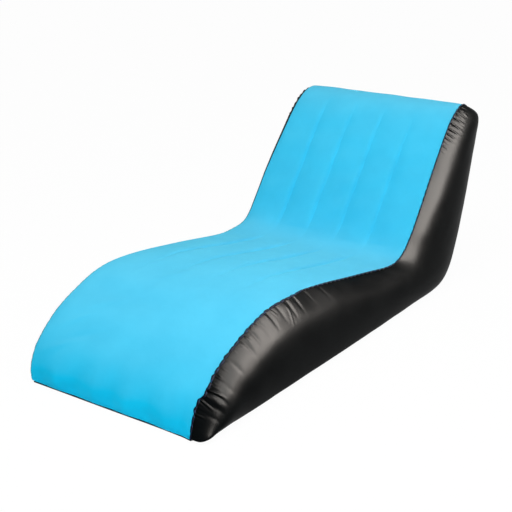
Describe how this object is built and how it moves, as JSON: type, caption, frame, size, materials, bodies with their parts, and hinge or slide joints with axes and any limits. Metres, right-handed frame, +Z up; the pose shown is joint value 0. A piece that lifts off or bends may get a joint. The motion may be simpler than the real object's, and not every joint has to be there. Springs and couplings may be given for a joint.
{
  "type": "inflatable lounger",
  "caption": "Inflatable chaise lounger: a flocked top sheet sweeps from a low toe over a hump to a seat and a steep backrest, between bulging side panels, with an air valve on the back.",
  "frame": {"origin": "on the floor under the middle of the whole part's box", "axes": "+Z up, +Y from the toe to the backrest, +X across to the sitter's left"},
  "size_m": [0.756, 1.6968, 0.6619],
  "materials": {
    "flocked_blue": "sky-blue flocked vinyl, velvety and matt",
    "satin_black": "satin black vinyl film",
    "welded_edge": "dark welded vinyl edge",
    "rib_film": "translucent vinyl film",
    "valve_vinyl": "moulded soft black vinyl",
    "flap_film": "soft translucent flap"
  },
  "bodies": {
    "root": {"top_sheet": "flocked_blue", "right_side_panel": "satin_black", "left_side_panel": "satin_black", "base_and_back_sheet": "satin_black", "right_edge_weld": "welded_edge", "left_edge_weld": "welded_edge", "toe_weld": "welded_edge", "back_top_weld": "welded_edge", "seat_rib_outer_left": "rib_film", "seat_rib_inner_left": "rib_film", "seat_rib_inner_right": "rib_film", "seat_rib_outer_right": "rib_film", "back_rib_outer_left": "rib_film", "back_rib_inner_left": "rib_film", "back_rib_inner_right": "rib_film", "back_rib_outer_right": "rib_film", "valve_base": "valve_vinyl", "tether_collar": "valve_vinyl"},
    "deflate_plug": {"deflate_plug": "valve_vinyl"},
    "inflate_plug": {"inflate_plug": "valve_vinyl"},
    "check_flap": {"check_flap": "flap_film"}
  },
  "joints": [
    {"name": "deflate_hinge", "type": "hinge", "parent": "root", "child": "deflate_plug", "pos_m": [0, 0.75784, 0.21682], "axis": [1, 0, 0], "range_deg": [0, 140]},
    {"name": "inflate_hinge", "type": "hinge", "parent": "deflate_plug", "child": "inflate_plug", "pos_m": [0, 0.75671, 0.18399], "axis": [-1, 0, 0], "range_deg": [0, 150]},
    {"name": "flap_hinge", "type": "hinge", "parent": "deflate_plug", "child": "check_flap", "pos_m": [0, 0.74866, 0.18973], "axis": [1, 0, 0], "range_deg": [0, 40], "stiffness_Nm_per_rad": 0.0002}
  ]
}
